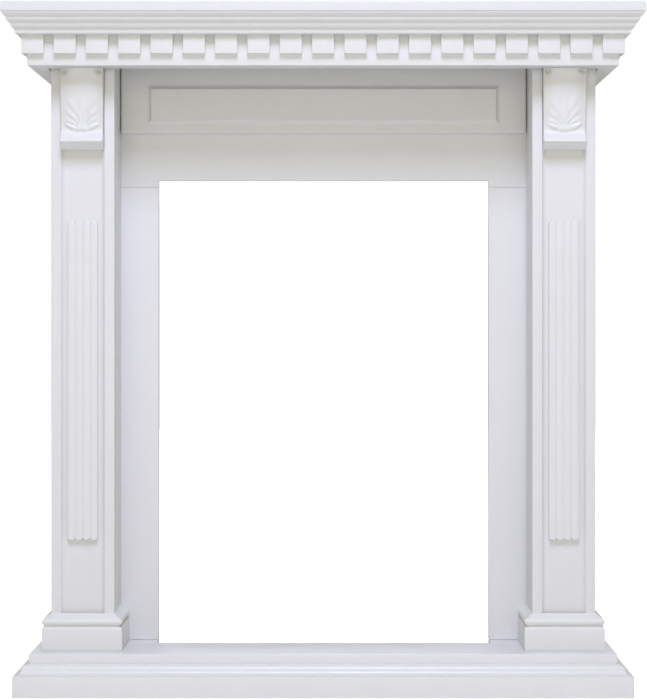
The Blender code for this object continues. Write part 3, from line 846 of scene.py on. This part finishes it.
def corbel_depth(share):
    """How far the plain bracket stands out at this share of its height: slope, throat, roll and underside."""
    down = np.clip(share / THROAT, 0, 1)
    slope = CORBEL_PROJECTION + (THROAT_PROJECTION - CORBEL_PROJECTION) * down * (1 + SAG * (1 - down))
    swell = eased_step(THROAT - THROAT_LEAD, NOSE, share)
    roll = THROAT_PROJECTION + (ROLL_PROJECTION - THROAT_PROJECTION) * swell
    under = np.clip((share - NOSE) / (1 - NOSE), 0, 1)
    drop = ROLL_FOOT_PROJECTION - ROLL_PROJECTION
    underside = ROLL_PROJECTION + drop * under * (UNDER_START + UNDER_GAIN * under)
    return np.where(share < THROAT - THROAT_LEAD, slope, np.where(share < NOSE, roll, underside))


def eased_depth(share):
    """The bracket's depth with its throat rubbed round by the mean over a short stretch.

    At the very top, and from short of the nose on, it is the plain depth.
    """
    offsets = np.linspace(-THROAT_EASE, THROAT_EASE, EASE_SAMPLES)
    mean = sum(corbel_depth(share + offset) for offset in offsets) / len(offsets)
    near_nose = eased_step(NOSE - 2 * THROAT_EASE, NOSE - THROAT_EASE, share)
    return mean + (corbel_depth(share) - mean) * np.maximum(near_nose, share < THROAT_EASE)


def tip_scallops(across):
    """0 to 1 over each scallop of the leaf's tip, as the size of a sine."""
    return np.abs(np.sin(across / LEAF_HALF_WIDTH * TIP_SCALLOPS * math.pi / 2))


def leaf_foot(across):
    """Share of the height where the leaf's tip ends: a hanging arc cut into scallops."""
    side = np.clip(np.abs(across) / LEAF_HALF_WIDTH, 0, 1)
    return LEAF_FOOT - TIP_RISE * side**TIP_CURVE + SCALLOP_DROP * tip_scallops(across)


def leaf(across, share, aspect):
    """Relief of the acanthus leaf, over across from -1 to 1 and share down the bracket.

    The ground is a low crown that dies away towards the bracket's sides, and a flat stem on it
    widens downwards between two grooves. Soft lobes fan out from a centre above the tip: with r
    and a the distance and the angle from it, their crests are (1 + cos) / 2 of lobes * a less a
    swirl of r, and they fade with both. The tip swells out above its foot as
    (1 - distance / reach)^2 and stops there. A round dimple is pressed into each top corner.
    """
    side = np.abs(across) / LEAF_HALF_WIDTH
    foot = leaf_foot(across)
    down = np.clip(share / foot, 0, 1)
    ground = GROUND_HEIGHT * (1 - eased_step(*GROUND_SIDES, side))
    stem_edge = STEM_NARROW + STEM_SPREAD * eased_step(*STEM_WIDENS, down)
    stem = 1 - eased_step(stem_edge - STEM_INSIDE, stem_edge + STEM_OUTSIDE, side)
    stem = stem * eased_step(*STEM_SHOWS, down)
    groove = np.exp(-(((side - stem_edge - GROOVE_ASIDE) / GROOVE_WIDTH) ** 2))
    groove = groove * eased_step(*GROOVE_SHOWS, down)
    rise = (FAN_CENTRE - share) * aspect
    reach = np.hypot(across, rise) / (FAN_REACH * aspect)
    turn = np.arctan2(np.abs(across), rise) / (math.pi / 2)
    phase = FAN_LOBES * turn - FAN_SWIRL * reach + FAN_OFFSET * np.sign(across)
    crest = 0.5 + 0.5 * np.cos(2 * math.pi * phase)
    shown = eased_step(*FAN_STARTS, reach) * (1 - eased_step(*FAN_ENDS, reach))
    shown = shown * eased_step(*FAN_OPENS, turn) * (1 - eased_step(*FAN_CLOSES, turn))
    shown = shown * (1 - eased_step(*FAN_SIDES, side))
    lobes = shown * (LOBE_HEIGHT * crest - LOBE_HEIGHT / 2)
    curl = np.clip(1 - (1 - down) / TIP_REACH, 0, 1) ** 2 * (1 - eased_step(*TIP_SIDES, side))
    tip = curl * (TIP_HEIGHT + SCALLOP_HEIGHT * tip_scallops(across) ** SCALLOP_POWER)
    ended = 1 - eased_step(*LEAF_ENDS, share / foot)
    aside = (np.abs(across) - DIMPLE_ACROSS) / DIMPLE_WIDTH
    dimple = DIMPLE_DEPTH * np.exp(-(aside**2) - ((share - DIMPLE_DOWN) / DIMPLE_HEIGHT) ** 2)
    return (ground + STEM_HEIGHT * stem + lobes - GROOVE_DEPTH * groove + tip) * ended - dimple


def corbel(low, high):
    """Rings down the bracket, its front standing out by depth and leaf, with a tongue behind in the channel.

    The hollow mark lays painted shade: high where there is little relief, and fading out down to the leaf's
    foot.
    """
    axis = (low.x + high.x) / 2
    width, height = high.x - low.x, high.z - low.z
    lap = high.y - FIELD_DEPTH
    tongue = FIELD_WIDTH / 2 - JOINT
    share = np.linspace(0, 1, CORBEL_ROWS)[:, None]
    across = np.linspace(-1, 1, CORBEL_COLUMNS)[None, :]
    narrowing = eased_step(0.0, THROAT, share) * (1 - eased_step(THROAT, NOSE, share))
    half = width / 2 - THROAT_NARROWING * narrowing
    relief = leaf(across, share, 2 * height / width)
    depth = eased_depth(share) + LEAF_RELIEF * relief
    shoulder = 1 - SIDE_ROUND * np.clip((np.abs(across) - SIDE_START) / SIDE_ROUND, 0, 1) ** 2
    x = axis + half * across
    y = lap - depth * shoulder
    z = high.z - share * height + np.zeros_like(across)
    front = np.stack([x, y, z], -1)
    turns = [(half, lap), (tongue, lap), (tongue, high.y), (-tongue, high.y), (-tongue, lap), (-half, lap)]
    back = np.stack(
        [
            np.column_stack([axis + np.ones(CORBEL_ROWS) * np.ravel(dx), np.full(CORBEL_ROWS, y0), z[:, 0]])
            for dx, y0 in turns
        ],
        1,
    )
    points, faces = ringed(np.concatenate([front, back], 1))
    # Painted shade: set where the leaf stands low, and faded out towards its foot.
    bare = 1 - np.clip(relief * PAINTED_SHADE_GAIN, 0, 1)
    hollow = np.concatenate([bare, np.zeros((CORBEL_ROWS, len(turns)))], 1)
    return points, faces, (hollow * (1 - eased_step(PAINTED_SHADE_FADE, LEAF_FOOT, share))).ravel()


for side in ("left", "right"):
    points, faces, hollow = corbel(*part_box(f"corbel_{side}"))
    piece(
        f"acanthus_corbel_{side}",
        [(points, faces)],
        painted_shade_lacquer,
        [f"corbel_{side}"],
        crease=60,
        attribute=[hollow],
    )

# Floor
# A plain pale studio floor, wide enough to fill every view. It glows for the camera alone, so that
# it runs into the white backdrop and throws no light of its own on the part.

FLOOR_REACH, FLOOR_DROP = 8.0, 0.0005
floor_plan = rectangle(-FLOOR_REACH, FLOOR_REACH, -FLOOR_REACH, FLOOR_REACH)
floor_mesh = bpy.data.meshes.new("floor")
floor_mesh.from_pydata([(x, y, -FLOOR_DROP) for x, y in floor_plan], [], [(0, 1, 2, 3)])
floor_paint = bpy.data.materials.new("floor_paint")
floor_paint.use_nodes = True
floor_nodes, floor_links = floor_paint.node_tree.nodes, floor_paint.node_tree.links
floor_shader = floor_nodes["Principled BSDF"]
floor_shader.inputs["Base Color"].default_value = (0.93, 0.93, 0.93, 1.0)
floor_shader.inputs["Roughness"].default_value = 0.8
floor_shader.inputs["Emission Color"].default_value = (1.0, 1.0, 1.0, 1.0)
floor_glow = floor_nodes.new("ShaderNodeMath")
floor_glow.operation = "MULTIPLY"
floor_glow.inputs[1].default_value = 1.10
floor_sight = floor_nodes.new("ShaderNodeLightPath")
floor_links.new(floor_sight.outputs["Is Camera Ray"], floor_glow.inputs[0])
floor_links.new(floor_glow.outputs["Value"], floor_shader.inputs["Emission Strength"])
floor = bpy.data.objects.new("floor", floor_mesh)
floor.data.materials.append(floor_paint)
bpy.context.scene.collection.objects.link(floor)

# Studio light
# A large soft cool lamp high in front of the middle, a broad weak warm fill low down, a cool lamp
# high behind, and a warm room. The camera sees a plain white backdrop in the room's place.


def lamp(name, place, aim, size, power, colour):
    """A rectangular area lamp of a width and height at a place, turned to shine at an aim."""
    light = bpy.data.lights.new(name, "AREA")
    light.shape = "RECTANGLE"
    light.size, light.size_y = size
    light.energy = power
    light.color = colour
    holder = bpy.data.objects.new(name, light)
    holder.location = place
    way = np.array(aim) - np.array(place)
    holder.rotation_euler = Vector(way).to_track_quat("-Z", "Y").to_euler()
    holder.visible_camera = False
    bpy.context.scene.collection.objects.link(holder)


lamp("key", (0.03, -3.0, 4.15), (0.0, -0.1, 0.5), (1.1, 1.5), 140.0, (0.70, 0.735, 1.0))
lamp("fill", (0.0, -4.5, 0.9), (0.0, 0.0, 0.45), (3.5, 2.4), 33.0, (1.0, 0.935, 0.75))
lamp("back", (0.0, 4.0, 2.0), (0.0, 0.0, 0.3), (3.0, 2.0), 30.0, (0.78, 0.82, 1.0))
room = bpy.data.worlds.new("room")
room.use_nodes = True
tree = room.node_tree
walls = tree.nodes["Background"]
walls.inputs["Color"].default_value = (1.0, 0.97, 0.74, 1.0)
walls.inputs["Strength"].default_value = 0.34
backdrop = tree.nodes.new("ShaderNodeBackground")
backdrop.inputs["Color"].default_value = (1.0, 1.0, 1.0, 1.0)
backdrop.inputs["Strength"].default_value = 1.05
seen = tree.nodes.new("ShaderNodeLightPath")
choice = tree.nodes.new("ShaderNodeMixShader")
tree.links.new(seen.outputs["Is Camera Ray"], choice.inputs["Fac"])
tree.links.new(walls.outputs["Background"], choice.inputs[1])
tree.links.new(backdrop.outputs["Background"], choice.inputs[2])
tree.links.new(choice.outputs["Shader"], tree.nodes["World Output"].inputs["Surface"])
bpy.context.scene.world = room
bpy.context.scene.view_settings.view_transform = "Standard"

# Camera
# A long lens a little over half way up the surround, 3.3 m in front of the shelf and almost square
# on. Its shifts place the picture without tilting the camera.

CAMERA_PLACE = (0.021, -3.5, 0.614)
LENS_MM, SENSOR_MM = 105.4, 36.0
SHIFT_X, SHIFT_Y = -0.0179, -0.0429
camera_data = bpy.data.cameras.new("camera")
camera_data.lens = LENS_MM
camera_data.sensor_width = SENSOR_MM
camera_data.sensor_fit = "AUTO"
camera_data.shift_x = SHIFT_X
camera_data.shift_y = SHIFT_Y
camera = bpy.data.objects.new("camera", camera_data)
camera.location = CAMERA_PLACE
camera.rotation_euler = (math.pi / 2, 0.0, 0.0)
bpy.context.scene.collection.objects.link(camera)
bpy.context.scene.camera = camera
